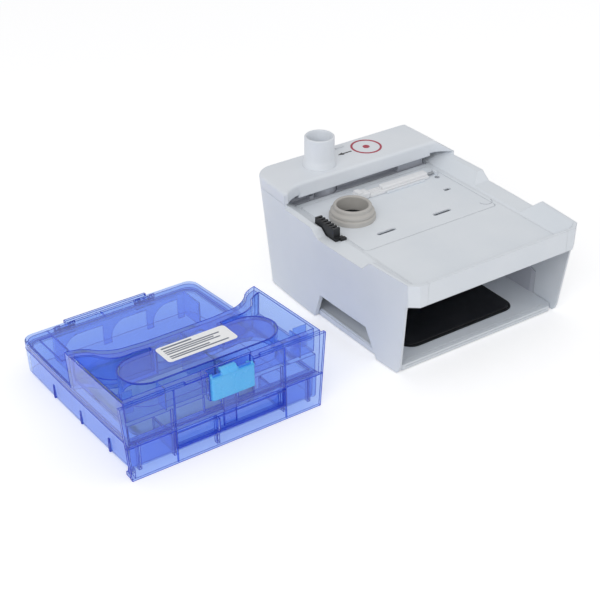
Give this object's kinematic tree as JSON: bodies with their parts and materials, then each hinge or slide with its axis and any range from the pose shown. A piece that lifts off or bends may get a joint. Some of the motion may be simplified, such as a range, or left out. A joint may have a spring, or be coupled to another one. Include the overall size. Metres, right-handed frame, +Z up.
{
  "type": "heated humidifier",
  "caption": "Heated humidifier for a breathing ventilator: docking base with heater, hose outlet and air seal, and a removable water tank with hinged lid and latch.",
  "frame": {"origin": "middle of the whole set's footprint, on the table", "axes": "+X to the right along the front of the set, tank on the left and base on the right; +Y to the back; +Z up"},
  "size_m": [0.357, 0.1851, 0.1076],
  "materials": {
    "casing": "satin moulded, very fine grain",
    "cap": "satin moulded, very fine grain",
    "inner_casing": "satin moulded",
    "off_white": "satin moulded",
    "seal_rubber": "matt silicone",
    "dark_rubber": "matt",
    "black_plastic": "satin",
    "heater_black": "matt black coating",
    "contact_metal": "bright",
    "steel": "plain",
    "aluminium": "satin",
    "board": "solder resist",
    "foam": "felt",
    "red_print": "printed",
    "black_print": "printed",
    "tank_blue": "clear tinted plastic, polished",
    "latch_blue": "satin",
    "label_white": "printed film",
    "clear_silicone": "translucent silicone"
  },
  "bodies": {
    "base": {"side_wall_left": "casing", "side_wall_right": "casing", "deck_frame": "casing", "rear_wall": "casing", "deck_plate": "casing", "vent_grille": "casing", "bridge_cap": "cap", "bridge_ring_mark": "red_print", "flow_arrow_mark": "black_print", "bridge_bulkhead": "inner_casing", "floor_pan": "casing", "rubber_feet": "dark_rubber", "bay_guide": "inner_casing", "bay_back_wall": "inner_casing", "air_box": "inner_casing", "port_plate": "inner_casing", "air_box_cover": "inner_casing", "port_gaskets": "seal_rubber", "outlet_elbow": "black_plastic", "elbow_ring": "seal_rubber", "inlet_seal": "seal_rubber", "seal_socket": "black_plastic", "comb_connector": "black_plastic", "comb_contacts": "contact_metal", "connector_board": "board", "bar_guides": "casing", "bar_spring": "steel", "spring_stop": "casing", "heater_surround": "black_plastic", "heater_insulation": "foam", "heater_springs": "steel", "control_board": "board", "board_parts": "black_plastic", "board_pillars": "black_plastic", "power_module": "aluminium", "harness": "dark_rubber", "pan_screws": "steel", "cap_screws": "steel"},
    "tank": {"tank_tub": "tank_blue", "tank_heat_plate": "aluminium", "heat_plate_seal": "clear_silicone"},
    "lid": {"tank_lid": "tank_blue", "hinge_pins": "steel", "lid_gasket": "clear_silicone", "vapour_baffle": "tank_blue", "air_divider": "tank_blue", "tank_label": "label_white", "latch_pin": "steel", "latch_spring": "steel"},
    "latch": {"latch": "latch_blue"},
    "lock_bar": {"lock_bar": "off_white", "lock_knob": "off_white"},
    "heater": {"heater_plate": "heater_black", "heater_element": "black_plastic", "heater_sensor": "steel", "thermal_fuse": "steel"}
  },
  "joints": [
    {"name": "tank_slide", "type": "slide", "parent": "base", "child": "tank", "axis": [0, -1, 0], "range_m": [0, 0.19]},
    {"name": "lid_hinge", "type": "hinge", "parent": "tank", "child": "lid", "pos_m": [-0.1039, 0.07343, 0.01976], "axis": [-1, 0, 0], "range_deg": [0, 80]},
    {"name": "latch_swing", "type": "hinge", "parent": "lid", "child": "latch", "pos_m": [-0.1003, -0.07306, 0.05008], "axis": [-1, 0, 0], "range_deg": [0, 6], "stiffness_Nm_per_rad": 0.03, "springref_deg": -8.59},
    {"name": "lock_bar_slide", "type": "slide", "parent": "base", "child": "lock_bar", "axis": [1, 0, 0], "range_m": [0, 0.004], "stiffness_N_per_m": 250, "springref_m": -0.002, "deforming": ["bar_spring"]},
    {"name": "heater_float", "type": "slide", "parent": "base", "child": "heater", "axis": [0, 0, -1], "range_m": [0, 0.0006], "stiffness_N_per_m": 2000, "springref_m": -0.0008, "deforming": ["heater_springs"]}
  ]
}
